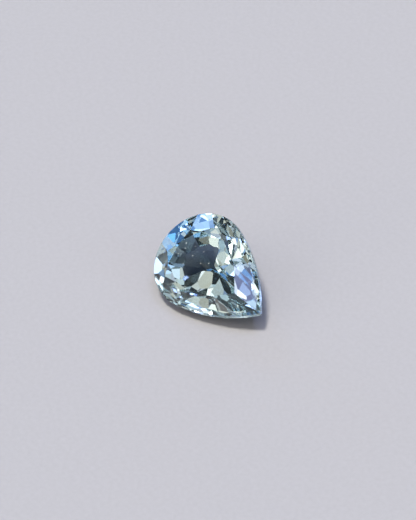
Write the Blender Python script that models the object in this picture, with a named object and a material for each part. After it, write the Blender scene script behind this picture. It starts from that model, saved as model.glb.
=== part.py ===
"""Loose pear-cut sapphire, one crystal, lying on a facet of its pavilion.

The stone is made the way a cutter makes it. A block is ground by flat cuts, one for each
facet: first the girdle, then the crown above it, then the stepped pavilion below it. The
finished stone is then laid on the facet that it comes to rest on.

In the cutter's frame the table faces +Z, the tip of the pear points along +X, and the
middle of the round head is at the origin, halfway up the girdle. Lengths are in
millimetres and angles in degrees until the stone is laid down, in metres.
"""

import math

import bmesh
import bpy
from mathutils import Matrix, Vector

MM = 0.001

STONE_NAME = "sapphire"
COLLECTION_NAME = "loose sapphire"

# Outline of the girdle, seen square on to the table
HEAD_RADIUS = 2.75
HEAD_REACH = 2.62
TIP_REACH = 5.05
SHOULDER_AZIMUTH = 75.5
TIP_BLUNTING = 0.05

# Girdle, the thin band between crown and pavilion
GIRDLE_THICKNESS = 0.28
GIRDLE_FLATS_ON_HEAD = 14
GIRDLE_FLATS_ON_FLANK = 10

# Crown: the table's corners in order, from the tip round the left side; it was cut by hand
# and by eye, so its right side isn't quite the left one's mirror image
CROWN_HEIGHT = 0.70
TABLE_CORNERS = [
    (3.46, -0.05), (2.35, 1.00), (0.78, 1.68), (-0.75, 1.22),
    (-1.25, 0.12), (-0.95, -1.22), (0.82, -1.95), (2.54, -0.95),
]

# The table's edges, by their first corner, whose facet is a small star and not a long main
STAR_EDGES = [2, 3, 4, 5]
STAR_SLOPE = 12.0
STAR_GIRDLE_SPREAD = 7.0

# The flank's corners, whose kites stop short of the girdle as the mains beside them do, and
# the narrow facets that take up the rest
FLANK_CORNERS = [1, 7]
FLANK_RISE = 0.08
FLANK_GIRDLE_AZIMUTHS = [44.0, 51.0, 59.0, 68.0]
FLANK_GIRDLE_SLOPE = 49.0

# Pavilion: rows of steps from the girdle down to the culet. A row has its slope, how far
# inside the outline it begins, and how far its middle is moved along and across the stone.
# Round the head, left and right give the azimuth of a side's first facet, beside the head's
# middle, and the even turn from each facet to the next. Flanks gives the azimuth of the facet
# next to the tip, the turn to the next and their number, the same on both sides
STEP_ROWS = [
    {"slope": 53.5, "inset": 0.00, "shift": (0.00, 0.00),
     "left": (175.0, 12.0), "right": (170.0, 14.0), "flanks": (44.0, 7.5, 5)},
    {"slope": 51.5, "inset": 0.21, "shift": (0.08, 0.05),
     "left": (168.0, 21.0), "right": (161.0, 20.5), "flanks": (47.0, 15.5, 3)},
    {"slope": 48.5, "inset": 0.84, "shift": (0.15, 0.02),
     "left": (171.0, 25.5), "right": (156.0, 27.5), "flanks": (38.0, 17.5, 3)},
    {"slope": 34.0, "inset": 1.40, "shift": (-0.08, 0.15),
     "left": (179.0, 29.0), "right": (150.0, 24.5), "flanks": (42.0, 17.0, 3)},
    {"slope": 29.5, "inset": 2.24, "shift": (0.34, 0.13),
     "left": (179.0, 32.0), "right": (163.0, 28.5), "flanks": (44.0, 16.5, 3)},
]
FLANK_SHARE = 0.6
CULET_TRIM = 0.06

# The stone lies on the right flank's last facet in the fourth row, which is ground a little
# deeper than its neighbours and so is wide enough to stand on
REST_ROW = 3
REST_GRIND = 0.04

SAPPHIRE_COLOUR = (0.60, 0.78, 0.90)
SAPPHIRE_IOR = 1.77
SAPPHIRE_ROUGHNESS = 0.02

BLOCK_SIZE = 14.0
CUT_TOLERANCE = 1e-6
MERGE_DISTANCE = 0.002


def flat_direction(azimuth):
    """Unit vector in the girdle's plane, turned by the azimuth from the tip."""
    angle = math.radians(azimuth)
    return Vector((math.cos(angle), math.sin(angle), 0.0))


def flank_arc():
    """Centre and radius of the left flank's arc.

    The arc leaves the round head at the shoulder, tangent to it, and ends at the tip.
    """
    shoulder = math.radians(SHOULDER_AZIMUTH)
    extra_radius = (TIP_REACH ** 2 - HEAD_RADIUS ** 2) / (
        2.0 * (HEAD_RADIUS - TIP_REACH * math.cos(shoulder)))
    centre = -extra_radius * flat_direction(SHOULDER_AZIMUTH)
    return centre, HEAD_RADIUS + extra_radius


def tip_azimuth():
    """Azimuth square to the left flank where it ends at the tip."""
    centre, _ = flank_arc()
    return math.degrees(math.atan2(-centre.y, TIP_REACH - centre.x))


def outline_reach(azimuth):
    """Distance from the origin to the outline's tangent that faces the azimuth."""
    azimuth = abs(azimuth)
    across = flat_direction(azimuth)
    if azimuth > 90.0:
        return math.hypot(HEAD_REACH * across.x, HEAD_RADIUS * across.y)
    if azimuth >= SHOULDER_AZIMUTH:
        return HEAD_RADIUS
    if azimuth < tip_azimuth():
        return TIP_REACH * across.x
    centre, radius = flank_arc()
    return centre.dot(across) + radius


def facet_normal(azimuth, slope):
    """Outward normal of a facet; a crown slope is positive and a pavilion slope negative."""
    angle = math.radians(slope)
    side = flat_direction(azimuth) * math.sin(abs(angle))
    return side + Vector((0.0, 0.0, math.copysign(math.cos(angle), slope)))


def grind(stone, point, normal):
    """Cut one flat facet: remove what lies outside the plane and close the cut."""
    everything = stone.verts[:] + stone.edges[:] + stone.faces[:]
    cut = bmesh.ops.bisect_plane(
        stone, geom=everything, dist=CUT_TOLERANCE, plane_co=point, plane_no=normal, clear_outer=True)
    rim = [item for item in cut["geom_cut"] if isinstance(item, bmesh.types.BMEdge)]
    rim = [edge for edge in rim if edge.is_boundary]
    if len(rim) > 2:
        bmesh.ops.edgenet_fill(stone, edges=rim)


def slope_to_girdle(point, azimuth, rim_height):
    """Slope of the facet that holds the point and just touches the girdle's edge."""
    run = outline_reach(azimuth) - point.dot(flat_direction(azimuth))
    return math.degrees(math.atan2(point.z - rim_height, run))


def meeting_point(planes):
    """Point where three planes meet; each plane is a point on it and its normal."""
    rows = Matrix([normal for _, normal in planes])
    sides = Vector([normal.dot(point) for point, normal in planes])
    return rows.inverted() @ sides


def cut_girdle(stone):
    """Grind the upright band that gives the stone its pear outline."""
    shoulder = SHOULDER_AZIMUTH
    head_step = (180.0 - shoulder) / GIRDLE_FLATS_ON_HEAD
    flank_step = (shoulder - tip_azimuth()) / GIRDLE_FLATS_ON_FLANK
    azimuths = [shoulder + head_step * n for n in range(GIRDLE_FLATS_ON_HEAD)]
    azimuths += [shoulder - flank_step * (n + 0.5) for n in range(GIRDLE_FLATS_ON_FLANK)]
    for azimuth in azimuths:
        for side in (1, -1):
            across = flat_direction(side * azimuth)
            grind(stone, across * outline_reach(azimuth), across)
    grind(stone, flat_direction(180.0) * HEAD_REACH, flat_direction(180.0))
    tip = flat_direction(0.0)
    grind(stone, tip * (TIP_REACH - TIP_BLUNTING), tip)


def table_corners():
    """The table's corners at its height."""
    height = GIRDLE_THICKNESS / 2 + CROWN_HEIGHT
    return [Vector((x, y, height)) for x, y in TABLE_CORNERS]


def edge_azimuth(start, end):
    """Azimuth square to a table edge, outwards, for corners in order round the left."""
    along = end - start
    return math.degrees(math.atan2(-along.x, along.y))


def signed(azimuth):
    """The same azimuth between -180 and 180."""
    return (azimuth + 180.0) % 360.0 - 180.0


def crown_facet(corner, azimuth, rim_height):
    """Facet through a table corner that comes down to the outline at the given height."""
    slope = slope_to_girdle(corner, azimuth, rim_height)
    return corner, facet_normal(azimuth, slope)


def cut_crown(stone):
    """Grind the table, the mains and stars on its edges, and the kites on its corners."""
    corners = table_corners()
    count = len(corners)
    rim = GIRDLE_THICKNESS / 2
    grind(stone, corners[0], Vector((0.0, 0.0, 1.0)))

    edges = [signed(edge_azimuth(corners[n], corners[(n + 1) % count])) for n in range(count)]
    for n in range(count):
        if n not in STAR_EDGES:
            grind(stone, *crown_facet(corners[n], edges[n], rim + FLANK_RISE))

    kites = {}
    for n in range(1, count):
        turn = signed(edges[n] - edges[n - 1])
        rise = FLANK_RISE if n in FLANK_CORNERS else 0.0
        kites[n] = crown_facet(corners[n], signed(edges[n - 1] + turn / 2), rim + rise)
        grind(stone, *kites[n])

    for n in STAR_EDGES:
        star = (corners[n], facet_normal(edges[n], STAR_SLOPE))
        grind(stone, *star)
        apex = meeting_point([kites[n], kites[n + 1], star])
        for turn in (-STAR_GIRDLE_SPREAD, STAR_GIRDLE_SPREAD):
            azimuth = signed(edges[n] + turn)
            slope = slope_to_girdle(apex, azimuth, rim)
            grind(stone, apex, facet_normal(azimuth, slope))

    for azimuth in FLANK_GIRDLE_AZIMUTHS:
        for side in (1, -1):
            point = flat_direction(side * azimuth) * outline_reach(azimuth)
            point.z = rim
            grind(stone, point, facet_normal(side * azimuth, FLANK_GIRDLE_SLOPE))


def step_depth(number):
    """Depth of a row's upper edge below the middle of the girdle."""
    depth = GIRDLE_THICKNESS / 2
    for upper, lower in zip(STEP_ROWS[:number], STEP_ROWS[1:]):
        width = lower["inset"] - upper["inset"]
        depth += width * math.tan(math.radians(upper["slope"]))
    return depth


def step_plane(number, azimuth):
    """One facet of a pavilion row, as a point on it and its outward normal."""
    row = STEP_ROWS[number]
    along, aside = row["shift"]
    across = flat_direction(azimuth)
    reach = outline_reach(azimuth) - row["inset"] + along * across.x + aside * across.y
    point = across * reach
    point.z = -step_depth(number)
    return point, facet_normal(azimuth, -row["slope"])


def flank_azimuths(row):
    """Directions of a row's flank facets on the left side, from the tip."""
    first, turn, count = row["flanks"]
    return [first + turn * n for n in range(count)]


def row_azimuths(row):
    """Directions of all the facets in a row."""
    flank = flank_azimuths(row)
    azimuths = [side * azimuth for azimuth in flank for side in (1, -1)]
    flank_end = flank[-1] + FLANK_SHARE * row["flanks"][1]
    for side, key in ((1, "left"), (-1, "right")):
        azimuth, turn = row[key]
        while azimuth > flank_end:
            azimuths.append(side * azimuth)
            azimuth -= turn
    return azimuths


def rest_plane():
    """The facet that the stone lies on, as a point on it and its outward normal."""
    point, normal = step_plane(REST_ROW, -flank_azimuths(STEP_ROWS[REST_ROW])[-1])
    return point - normal * REST_GRIND, normal


def cut_pavilion(stone):
    """Grind the rows of steps, and trim the point where they close to a small culet."""
    grind(stone, *step_plane(0, 180.0))
    for number, row in enumerate(STEP_ROWS):
        for azimuth in row_azimuths(row):
            grind(stone, *step_plane(number, azimuth))
    grind(stone, *rest_plane())
    lowest = min(vert.co.z for vert in stone.verts)
    grind(stone, Vector((0.0, 0.0, lowest + CULET_TRIM)), Vector((0.0, 0.0, -1.0)))


def cut_stone():
    """The whole stone in the cutter's frame, as a closed mesh of flat facets."""
    stone = bmesh.new()
    bmesh.ops.create_cube(stone, size=BLOCK_SIZE)
    cut_girdle(stone)
    cut_crown(stone)
    cut_pavilion(stone)
    bmesh.ops.remove_doubles(stone, verts=stone.verts[:], dist=MERGE_DISTANCE)
    bmesh.ops.recalc_face_normals(stone, faces=stone.faces[:])
    return stone


def lying_pose(stone):
    """Turn and place the stone so that it lies on its resting facet.

    The facet is turned to face down, the pear's axis then runs along X, and the origin is
    under the middle of the stone's box.
    """
    _, normal = rest_plane()
    level = normal.rotation_difference(Vector((0.0, 0.0, -1.0))).to_matrix()
    axis = level @ Vector((1.0, 0.0, 0.0))
    turn = Matrix.Rotation(-math.atan2(axis.y, axis.x), 3, "Z") @ level
    laid = [turn @ vert.co for vert in stone.verts]
    low = Vector([min(point[n] for point in laid) for n in range(3)])
    high = Vector([max(point[n] for point in laid) for n in range(3)])
    foot = Vector(((low.x + high.x) / 2, (low.y + high.y) / 2, low.z))
    return Matrix.Translation(-foot * MM) @ turn.to_4x4()


def sapphire_material():
    """Pale blue corundum, polished and clear."""
    material = bpy.data.materials.new("pale blue sapphire")
    material.use_nodes = True
    shader = material.node_tree.nodes["Principled BSDF"]
    shader.inputs["Base Color"].default_value = (*SAPPHIRE_COLOUR, 1.0)
    shader.inputs["Roughness"].default_value = SAPPHIRE_ROUGHNESS
    shader.inputs["Metallic"].default_value = 0.0
    shader.inputs["IOR"].default_value = SAPPHIRE_IOR
    shader.inputs["Transmission Weight"].default_value = 1.0
    return material


def main():
    for old in list(bpy.data.objects):
        bpy.data.objects.remove(old, do_unlink=True)
    collection = bpy.data.collections.new(COLLECTION_NAME)
    bpy.context.scene.collection.children.link(collection)

    stone = cut_stone()
    pose = lying_pose(stone)
    bmesh.ops.scale(stone, vec=(MM, MM, MM), verts=stone.verts[:])
    mesh = bpy.data.meshes.new(STONE_NAME)
    stone.to_mesh(mesh)
    stone.free()
    mesh.materials.append(sapphire_material())

    sapphire = bpy.data.objects.new(STONE_NAME, mesh)
    sapphire.matrix_world = pose
    collection.objects.link(sapphire)


main()
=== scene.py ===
"""Looks of a loose pear-cut sapphire lying on its pavilion, under soft studio light.

The CAD solid is the whole stone. Here a merged copy of it takes its place: the same flat
facets, with fine nicks along the girdle, a few pinpoints inside the crystal, and the
finish of cut corundum.
"""

import math

import bmesh
import bpy
import numpy as np
from mathutils import Matrix, Vector


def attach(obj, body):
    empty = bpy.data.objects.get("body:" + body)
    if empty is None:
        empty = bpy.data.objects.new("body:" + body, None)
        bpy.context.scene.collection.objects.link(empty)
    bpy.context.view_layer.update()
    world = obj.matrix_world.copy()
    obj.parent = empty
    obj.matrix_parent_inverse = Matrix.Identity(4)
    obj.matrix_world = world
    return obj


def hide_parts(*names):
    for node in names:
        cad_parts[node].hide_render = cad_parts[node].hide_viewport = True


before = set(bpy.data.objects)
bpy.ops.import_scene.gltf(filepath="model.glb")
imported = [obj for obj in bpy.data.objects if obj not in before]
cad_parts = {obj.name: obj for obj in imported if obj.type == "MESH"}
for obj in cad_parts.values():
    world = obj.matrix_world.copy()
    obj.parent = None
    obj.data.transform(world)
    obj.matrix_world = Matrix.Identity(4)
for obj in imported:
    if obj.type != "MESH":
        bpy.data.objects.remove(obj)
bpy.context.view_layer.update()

MM = 0.001

# Camera: how the stone sits in the photograph's 416 by 520 frame
PHOTO_WIDTH = 416
PHOTO_HEIGHT = 520
STONE_MIDDLE_PIXEL = (207.5, 265.5)
PIXELS_PER_MM = 18.4
CAMERA_AZIMUTH = 53.2
CAMERA_ELEVATION = 40.5
CAMERA_ROLL = -4.6
LENS = 250.0
SENSOR = 36.0

# Corundum, aluminium oxide coloured by a little iron and titanium. What it absorbs in a
# millimetre is 4% of the red, 1.4% of the green and 1.1% of the blue
SAPPHIRE_IOR = 1.77
ABSORPTION_COLOUR = "#ade7eb"
ABSORPTION_PER_METRE = 68.0

# Zones of growth: the tints at the head and at the tip, half the pear's length, and how far
# apart the faint bands are, in millimetres
HEAD_TINT = "#f2faff"
TIP_TINT = "#fffff6"
ZONE_REACH = 3.8
BAND_SPACING = 2.54
BAND_STRENGTH = 0.25
WAVE_TURN = 10.0

# The girdle is left as the wheel ground it, with pits of this size in millimetres
GROUND_ROUGHNESS = 0.12
GRIT_ROUGHNESS = 0.25
GRIT_SIZE = 0.06

MERGE_DISTANCE = 0.002 * MM
FLAT_WITHIN = math.radians(0.05)
GIRDLE_LEAN = 0.03

# Nicks along the girdle's upper edge: turn round the stone from the tip in degrees, then the
# bite's radius and its depth in millimetres
NICK_RINGS = 5
NICK_SIDES = 9
NICK_TILT = 0.6
NICK_MARGIN = 1.02
NICKS = [
    (28.0, 0.10, 0.030), (33.0, 0.07, 0.022), (47.0, 0.09, 0.020), (96.0, 0.08, 0.020),
    (163.0, 0.08, 0.022), (-127.0, 0.12, 0.035), (-92.0, 0.07, 0.020), (-41.0, 0.09, 0.022),
]

# Pinpoints inside the crystal, millimetres: from the table's middle along the pear and
# across it, then the depth below the table and half the grain's width
GRAIN_COLOUR = "#f4efe6"
GRAIN_SHADE = "#b9b4ac"
GRAIN_MOTTLE = 0.02
# The grains' glow is painted light: it stands for the light that the facets focus on them
GRAIN_GLOW = 1.6
PINPOINTS = [
    (-1.77, 0.15, 0.48, 0.026), (-2.03, 0.41, 0.86, 0.032), (-0.46, -0.02, 0.67, 0.026),
    (-0.17, 0.25, 1.05, 0.030), (-1.93, -0.31, 0.57, 0.021), (-1.33, 0.07, 1.24, 0.026),
    (-1.29, 0.56, 0.33, 0.020), (-0.78, 0.60, 0.77, 0.024), (-1.43, -0.58, 0.96, 0.021),
]

# The studio: the pale floor, and soft round lights as seen from the stone. Each has its
# azimuth and elevation, its half angle, its brightness and its colour. The first is the key
# light, and the others are the white and blue fill that a cut stone picks up from all round.
# A light is at its full brightness over the core of its disc
FLOOR_HALF_SIZE = 0.6
FLOOR_COLOUR = "#d2d1d0"
FLOOR_HOLLOW = "#c8c7c5"
PAPER_TOOTH = 0.25
FLOOR_GAP = 0.01
STUDIO_COLOUR = "#686d75"
STUDIO_BRIGHTNESS = 0.22
LIGHT_CORE = 0.55
SOFT_LIGHTS = [
    (25.0, 73.0, 6.0, 88.0, "#fffaf5"),
    (112.0, 76.0, 13.0, 3.2, "#c0caff"),
    (143.0, 76.0, 13.0, 1.2, "#93acff"),
    (58.0, 73.0, 13.0, 0.4, "#d1e8ff"),
    (-27.0, 70.0, 13.0, 0.6, "#6cb0ff"),
    (156.0, 69.0, 8.0, 1.6, "#d4dcff"),
    (45.0, 58.0, 13.0, 1.7, "#fff5f7"),
    (13.0, 54.0, 13.0, 0.5, "#fff1e2"),
    (65.0, 51.0, 13.0, 0.4, "#fff1e2"),
    (-20.0, 50.0, 13.0, 1.0, "#ebebff"),
    (33.0, 48.0, 13.0, 0.8, "#fff8f4"),
    (0.0, 44.0, 13.0, 0.4, "#fff2e4"),
    (73.0, 37.0, 13.0, 0.8, "#e7f3ff"),
    (-12.0, 36.0, 13.0, 0.4, "#e4f1ff"),
    (-45.0, 33.0, 13.0, 0.7, "#e6f2ff"),
    (8.0, 31.0, 13.0, 0.7, "#f1edff"),
    (-106.0, 30.0, 8.0, 5.4, "#79b2ff"),
    (-77.0, 30.0, 13.0, 0.3, "#ffe6c8"),
    (113.0, 28.0, 13.0, 1.4, "#81bcff"),
    (-4.0, 24.0, 13.0, 1.2, "#fff1e2"),
    (101.0, 21.0, 13.0, 1.1, "#fff8f1"),
    (16.0, 20.0, 13.0, 0.6, "#e2f1ff"),
    (68.0, 19.0, 13.0, 0.7, "#fff1e2"),
    (56.0, 12.0, 13.0, 2.5, "#e1eaff"),
    (-29.0, 11.0, 13.0, 0.6, "#bfd0ff"),
    (23.0, 10.0, 13.0, 0.8, "#b6cdff"),
    (-147.0, 8.0, 13.0, 1.3, "#96c5ff"),
    (-9.0, 7.0, 13.0, 2.0, "#fff4f1"),
    (-94.0, 6.0, 13.0, 2.3, "#5aa6ff"),
    (-127.0, 4.0, 13.0, 1.5, "#e2e0ff"),
    (5.0, 3.0, 8.0, 1.9, "#fffdfc"),
]


def linear(colour):
    """sRGB hex to linear RGBA."""
    parts = [int(colour[n:n + 2], 16) / 255 for n in (1, 3, 5)]
    return [p / 12.92 if p <= 0.04045 else ((p + 0.055) / 1.055) ** 2.4 for p in parts] + [1.0]


def add_node(tree, kind, settings=(), links=()):
    """Add a node, set its properties and sockets, and link sockets to what feeds them."""
    node = tree.nodes.new(kind)
    for name, value in dict(settings).items():
        if isinstance(name, str) and hasattr(node, name):
            setattr(node, name, value)
        else:
            node.inputs[name].default_value = value
    for name, source in dict(links).items():
        tree.links.new(source, node.inputs[name])
    return node


def new_material(name):
    """An empty node material and its tree."""
    material = bpy.data.materials.new(name)
    material.use_nodes = True
    material.node_tree.nodes.clear()
    return material, material.node_tree


def direction(azimuth, elevation):
    """Unit vector from the stone towards a viewer or a light."""
    a, e = math.radians(azimuth), math.radians(elevation)
    return Vector((math.sin(a) * math.cos(e), -math.cos(a) * math.cos(e), math.sin(e)))


def polished_corundum():
    """Clear cut corundum: facets polished to a mirror, the girdle only ground.

    The ground girdle is frosted, and the growth of the crystal left it a little bluer at
    the head than at the tip.
    """
    material, tree = new_material("polished pale blue corundum")
    place = add_node(tree, "ShaderNodeTexCoord").outputs["Object"]
    along = add_node(tree, "ShaderNodeSeparateXYZ", links={"Vector": place}).outputs["X"]
    zone = add_node(tree, "ShaderNodeMapRange", {
        "From Min": -ZONE_REACH * MM, "From Max": ZONE_REACH * MM}, {"Value": along})
    bands = add_node(tree, "ShaderNodeTexWave", {
        "wave_type": "BANDS", "bands_direction": "DIAGONAL",
        "Scale": 2 * math.pi / math.sqrt(3.0) / WAVE_TURN / (BAND_SPACING * MM),
        "Distortion": 1.5, "Detail": 1.0, "Detail Scale": 2.0}, {"Vector": place})
    zoned = add_node(tree, "ShaderNodeMath", {
        "operation": "MULTIPLY_ADD", 1: BAND_STRENGTH}, {
        0: bands.outputs["Fac"], 2: zone.outputs["Result"]})
    tint = add_node(tree, "ShaderNodeMix", {
        "data_type": "RGBA", 6: linear(HEAD_TINT), 7: linear(TIP_TINT)}, {
        0: zoned.outputs["Value"]})
    ground = add_node(tree, "ShaderNodeAttribute", {"attribute_name": "ground"}).outputs["Fac"]
    grit = add_node(tree, "ShaderNodeTexNoise", {
        "Scale": 1.0 / (GRIT_SIZE * MM), "Detail": 2.0}, {"Vector": place})
    frosting = add_node(tree, "ShaderNodeMath", {
        "operation": "MULTIPLY_ADD", 1: GRIT_ROUGHNESS, 2: GROUND_ROUGHNESS}, {
        0: grit.outputs["Fac"]})
    roughness = add_node(tree, "ShaderNodeMath", {"operation": "MULTIPLY"}, {
        0: ground, 1: frosting.outputs["Value"]})
    shader = add_node(tree, "ShaderNodeBsdfPrincipled", {
        "IOR": SAPPHIRE_IOR,
        "Transmission Weight": 1.0,
    }, {"Base Color": tint.outputs[2], "Roughness": roughness.outputs["Value"]})
    volume = add_node(tree, "ShaderNodeVolumeAbsorption", {
        "Color": linear(ABSORPTION_COLOUR), "Density": ABSORPTION_PER_METRE})
    add_node(tree, "ShaderNodeOutputMaterial", links={
        "Surface": shader.outputs["BSDF"], "Volume": volume.outputs["Volume"]})
    return material


def merged_stone():
    """The CAD stone with its triangles joined into whole flat facets."""
    shape = bmesh.new()
    shape.from_mesh(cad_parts["sapphire"].data)
    bmesh.ops.remove_doubles(shape, verts=shape.verts[:], dist=MERGE_DISTANCE)
    bmesh.ops.dissolve_limit(
        shape, angle_limit=FLAT_WITHIN, verts=shape.verts[:], edges=shape.edges[:])
    mesh = bpy.data.meshes.new("cut_sapphire")
    shape.to_mesh(mesh)
    shape.free()
    stone = bpy.data.objects.new("cut_sapphire", mesh)
    bpy.context.scene.collection.objects.link(stone)
    return stone


def table_frame(mesh):
    """The table's middle, and the directions along the pear, across it and out of the table.

    The table is the largest facet, and the pear's axis is the X axis laid into it.
    """
    table = max(mesh.polygons, key=lambda facet: facet.area)
    up = np.array(table.normal)
    along = np.array([1.0, 0.0, 0.0])
    along -= up * along.dot(up)
    along /= np.linalg.norm(along)
    return np.array(table.center), along, np.cross(up, along), up


def girdle_rim(mesh, along, across, up):
    """Upper corners of the girdle in order round the stone, their turns, and their middle.

    A girdle facet is one that stands square to the table. Of its corners, the upper ones
    are those on the table's side of its middle.
    """
    corners = {}
    for facet in mesh.polygons:
        if abs(facet.normal.dot(up)) < GIRDLE_LEAN:
            for index in facet.vertices:
                point = mesh.vertices[index].co
                if (point - facet.center).dot(up) > 0:
                    corners[index] = point
    rim = np.array([list(point) for point in corners.values()])
    middle = rim.mean(0)
    turn = np.arctan2((rim - middle) @ across, (rim - middle) @ along)
    return rim[np.argsort(turn)], np.sort(np.degrees(turn)), middle


def sphere_points(centre, radius):
    """Corners of a ball: rings of NICK_SIDES points, from pole to pole, turned by the ring.

    x, y = radius sin(polar) (cos, sin)(around) and z = radius cos(polar).
    """
    polar = np.linspace(0.0, math.pi, NICK_RINGS + 2)[1:-1, None]
    around = np.linspace(0.0, 2 * math.pi, NICK_SIDES, endpoint=False)[None] + polar
    ball = np.stack([
        np.sin(polar) * np.cos(around), np.sin(polar) * np.sin(around),
        np.cos(polar) + 0 * around], -1).reshape(-1, 3)
    poles = np.array([[0, 0, 1.0], [0, 0, -1.0]])
    return centre + radius * np.concatenate([ball, poles])


def sphere_faces(first):
    """Faces of such a ball, pointing outwards, for corners that start at the given index."""
    faces = []
    north = first + NICK_RINGS * NICK_SIDES
    for k in range(NICK_SIDES):
        after = (k + 1) % NICK_SIDES
        faces.append((north, first + k, first + after))
        for ring in range(NICK_RINGS - 1):
            a = first + ring * NICK_SIDES
            b = a + NICK_SIDES
            faces.append((a + k, b + k, b + after, a + after))
        last = first + (NICK_RINGS - 1) * NICK_SIDES
        faces.append((last + k, north + 1, last + after))
    return faces


def nick_girdle(stone, along, across, up):
    """Bite small shell-shaped nicks out of the girdle's upper edge."""
    rim, turns, middle = girdle_rim(stone.data, along, across, up)
    centres, points, faces = [], [], []
    for turn, radius, depth in NICKS:
        edge = np.array([np.interp(turn, turns, rim[:, n], period=360.0) for n in range(3)])
        outwards = edge - middle
        outwards = outwards / np.linalg.norm(outwards) + up * NICK_TILT
        outwards /= np.linalg.norm(outwards)
        centre = edge + outwards * (radius - depth) * MM
        faces += sphere_faces(len(points) * (NICK_RINGS * NICK_SIDES + 2))
        points.append(sphere_points(centre, radius * MM))
        centres.append((centre, radius * MM))
    mesh = bpy.data.meshes.new("nicks")
    mesh.from_pydata(np.concatenate(points).tolist(), [], faces)
    cutter = bpy.data.objects.new("nicks", mesh)
    bpy.context.scene.collection.objects.link(cutter)
    bite = stone.modifiers.new("nicks", "BOOLEAN")
    bite.operation = "DIFFERENCE"
    bite.object = cutter
    bpy.context.view_layer.update()
    evaluated = stone.evaluated_get(bpy.context.evaluated_depsgraph_get())
    bitten = bpy.data.meshes.new_from_object(evaluated)
    stone.modifiers.clear()
    plain = stone.data
    stone.data = bitten
    bitten.name = "cut_sapphire"
    bpy.data.objects.remove(cutter)
    bpy.data.meshes.remove(plain)
    bpy.data.meshes.remove(mesh)
    return centres


def mark_unpolished(mesh, up, nicks):
    """Face attribute 'ground': 1 on the girdle and in its nicks, 0 on the polished facets."""
    ground = np.zeros(len(mesh.polygons), np.float32)
    for n, facet in enumerate(mesh.polygons):
        centre = np.array(facet.center)
        in_nick = any(np.linalg.norm(centre - c) < r * NICK_MARGIN for c, r in nicks)
        ground[n] = abs(facet.normal.dot(up)) < GIRDLE_LEAN or in_nick
    mesh.attributes.new("ground", "FLOAT", "FACE").data.foreach_set("value", ground)


def pale_grain():
    """Grains of another mineral caught in the crystal: dull, almost white.

    The light paths leave out what the facets focus on them, so a glow stands for it.
    """
    material, tree = new_material("pale mineral grains")
    place = add_node(tree, "ShaderNodeTexCoord").outputs["Object"]
    mottle = add_node(tree, "ShaderNodeTexNoise", {
        "Scale": 1.0 / (GRAIN_MOTTLE * MM), "Detail": 1.0}, {"Vector": place})
    colour = add_node(tree, "ShaderNodeMix", {
        "data_type": "RGBA", 6: linear(GRAIN_COLOUR), 7: linear(GRAIN_SHADE)}, {
        0: mottle.outputs["Fac"]})
    # Emission in the grains' own colour is painted light, for what the facets focus on them
    shader = add_node(tree, "ShaderNodeBsdfPrincipled", {
        "Roughness": 0.6, "Emission Color": linear(GRAIN_COLOUR),
        "Emission Strength": GRAIN_GLOW}, {"Base Color": colour.outputs[2]})
    add_node(tree, "ShaderNodeOutputMaterial", links={"Surface": shader.outputs["BSDF"]})
    return material


def make_pinpoints(middle, along, across, up):
    """Eight-sided grains: each has a corner at plus and minus its size on three axes.

    A grain's middle is the table's middle + along a + across b - up depth, and it is turned
    about up by its own number in radians.
    """
    places = np.array(PINPOINTS)
    turns = np.arange(len(places))[:, None]
    first = np.cos(turns) * along + np.sin(turns) * across
    second = np.cos(turns) * across - np.sin(turns) * along
    centres = middle + (places[:, :1] * along + places[:, 1:2] * across - places[:, 2:3] * up) * MM
    axes = np.stack([first, second, np.broadcast_to(up, first.shape)], 1)
    corners = centres[:, None] + np.concatenate([axes, -axes], 1) * places[:, 3, None, None] * MM
    sides = np.array([
        (0, 1, 2), (1, 3, 2), (3, 4, 2), (4, 0, 2), (1, 0, 5), (3, 1, 5), (4, 3, 5), (0, 4, 5)])
    faces = sides[None] + 6 * np.arange(len(places))[:, None, None]
    mesh = bpy.data.meshes.new("pinpoints")
    mesh.from_pydata(corners.reshape(-1, 3).tolist(), [], faces.reshape(-1, 3).tolist())
    mesh.materials.append(pale_grain())
    grains = bpy.data.objects.new("pinpoints", mesh)
    bpy.context.scene.collection.objects.link(grains)
    return grains


def floor_paper():
    """Pale matt paper with a faint tooth, a quarter of a millimetre from hollow to hollow."""
    material, tree = new_material("pale matt paper")
    place = add_node(tree, "ShaderNodeTexCoord").outputs["Object"]
    tooth = add_node(tree, "ShaderNodeTexNoise", {
        "Scale": 1.0 / (PAPER_TOOTH * MM), "Detail": 3.0}, {"Vector": place})
    colour = add_node(tree, "ShaderNodeMix", {
        "data_type": "RGBA", 6: linear(FLOOR_COLOUR), 7: linear(FLOOR_HOLLOW)}, {
        0: tooth.outputs["Fac"]})
    shader = add_node(tree, "ShaderNodeBsdfPrincipled", {
        "Roughness": 0.9, "Specular IOR Level": 0.2}, {"Base Color": colour.outputs[2]})
    add_node(tree, "ShaderNodeOutputMaterial", links={"Surface": shader.outputs["BSDF"]})
    return material


def make_floor():
    """Flat pale square that the stone lies on.

    Paper touches a polished facet at a few fibres only, so a hair of air is left between
    them. Without it the facet would lose its mirror, and show black.
    """
    s, z = FLOOR_HALF_SIZE, -FLOOR_GAP * MM
    mesh = bpy.data.meshes.new("floor")
    mesh.from_pydata([(-s, -s, z), (s, -s, z), (s, s, z), (-s, s, z)], [], [(0, 1, 2, 3)])
    mesh.materials.append(floor_paper())
    floor = bpy.data.objects.new("floor", mesh)
    bpy.context.scene.collection.objects.link(floor)


def outline_middle(axis):
    """Middle of the stone's reach along an axis."""
    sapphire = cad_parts["sapphire"]
    reach = [(sapphire.matrix_world @ corner.co).dot(axis) for corner in sapphire.data.vertices]
    return (min(reach) + max(reach)) / 2


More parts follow.
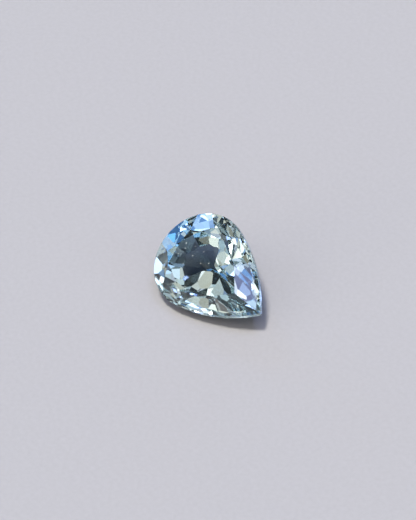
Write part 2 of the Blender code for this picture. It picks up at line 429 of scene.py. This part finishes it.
def make_camera():
    """Camera at the photograph's viewing angle, with the stone where the photograph has it."""
    data = bpy.data.cameras.new("camera")
    data.lens = LENS
    data.sensor_width = SENSOR
    data.clip_start = 0.01
    data.clip_end = 10.0
    camera = bpy.data.objects.new("camera", data)
    bpy.context.scene.collection.objects.link(camera)
    bpy.context.scene.camera = camera
    back = direction(CAMERA_AZIMUTH, CAMERA_ELEVATION)
    level = direction(CAMERA_AZIMUTH + 90.0, 0.0)
    right = Matrix.Rotation(math.radians(CAMERA_ROLL), 3, back) @ level
    up = back.cross(right)
    across = (PHOTO_WIDTH / 2 - STONE_MIDDLE_PIXEL[0]) / PIXELS_PER_MM * MM
    above = (STONE_MIDDLE_PIXEL[1] - PHOTO_HEIGHT / 2) / PIXELS_PER_MM * MM
    distance = LENS / SENSOR * PHOTO_HEIGHT / PIXELS_PER_MM * MM
    aim = right * (outline_middle(right) + across) + up * (outline_middle(up) + above)
    turn = Matrix((right, up, back)).transposed().to_4x4()
    camera.matrix_world = Matrix.Translation(aim + back * (outline_middle(back) + distance)) @ turn


def make_world():
    """Dim studio with soft round lights, each fading out over the outer part of its disc."""
    world = bpy.data.worlds.new("studio")
    bpy.context.scene.world = world
    world.use_nodes = True
    tree = world.node_tree
    tree.nodes.clear()
    towards = add_node(tree, "ShaderNodeTexCoord").outputs["Generated"]
    total = add_node(tree, "ShaderNodeRGB").outputs[0]
    dim = [part * STUDIO_BRIGHTNESS for part in linear(STUDIO_COLOUR)[:3]]
    total.default_value = dim + [1.0]
    for azimuth, elevation, half_angle, brightness, colour in SOFT_LIGHTS:
        dot = add_node(tree, "ShaderNodeVectorMath", {
            "operation": "DOT_PRODUCT", 1: direction(azimuth, elevation)}, {0: towards})
        disc = add_node(tree, "ShaderNodeMapRange", {
            "interpolation_type": "SMOOTHSTEP",
            "From Min": math.cos(math.radians(half_angle)),
            "From Max": math.cos(math.radians(half_angle * LIGHT_CORE)),
        }, {"Value": dot.outputs["Value"]})
        shine = [part * brightness for part in linear(colour)[:3]] + [1.0]
        total = add_node(tree, "ShaderNodeMix", {
            "data_type": "RGBA", "blend_type": "ADD", 7: shine}, {
            0: disc.outputs["Result"], 6: total}).outputs[2]
    background = add_node(tree, "ShaderNodeBackground", links={"Color": total})
    plain = add_node(tree, "ShaderNodeBackground", {"Color": linear(FLOOR_COLOUR)})
    path = add_node(tree, "ShaderNodeLightPath")
    shown = add_node(tree, "ShaderNodeMixShader", links={
        0: path.outputs["Is Camera Ray"],
        1: background.outputs["Background"],
        2: plain.outputs["Background"]})
    add_node(tree, "ShaderNodeOutputWorld", links={"Surface": shown.outputs["Shader"]})


def set_light_paths():
    """Enough bounces for light that runs to and fro between facets, and neutral tones."""
    scene = bpy.context.scene
    scene.cycles.max_bounces = 24
    scene.cycles.transmission_bounces = 24
    scene.cycles.glossy_bounces = 16
    scene.cycles.sample_clamp_indirect = 8.0
    scene.cycles.caustics_refractive = False
    scene.cycles.caustics_reflective = False
    scene.view_settings.view_transform = "Standard"


make_floor()
make_world()
make_camera()
set_light_paths()

stone = merged_stone()
table_middle, along, across, up = table_frame(stone.data)
nicks = nick_girdle(stone, along, across, up)
mark_unpolished(stone.data, up, nicks)
stone.data.materials.clear()
stone.data.materials.append(polished_corundum())
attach(stone, "root")
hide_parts("sapphire")

pinpoints = make_pinpoints(table_middle, along, across, up)
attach(pinpoints, "root")
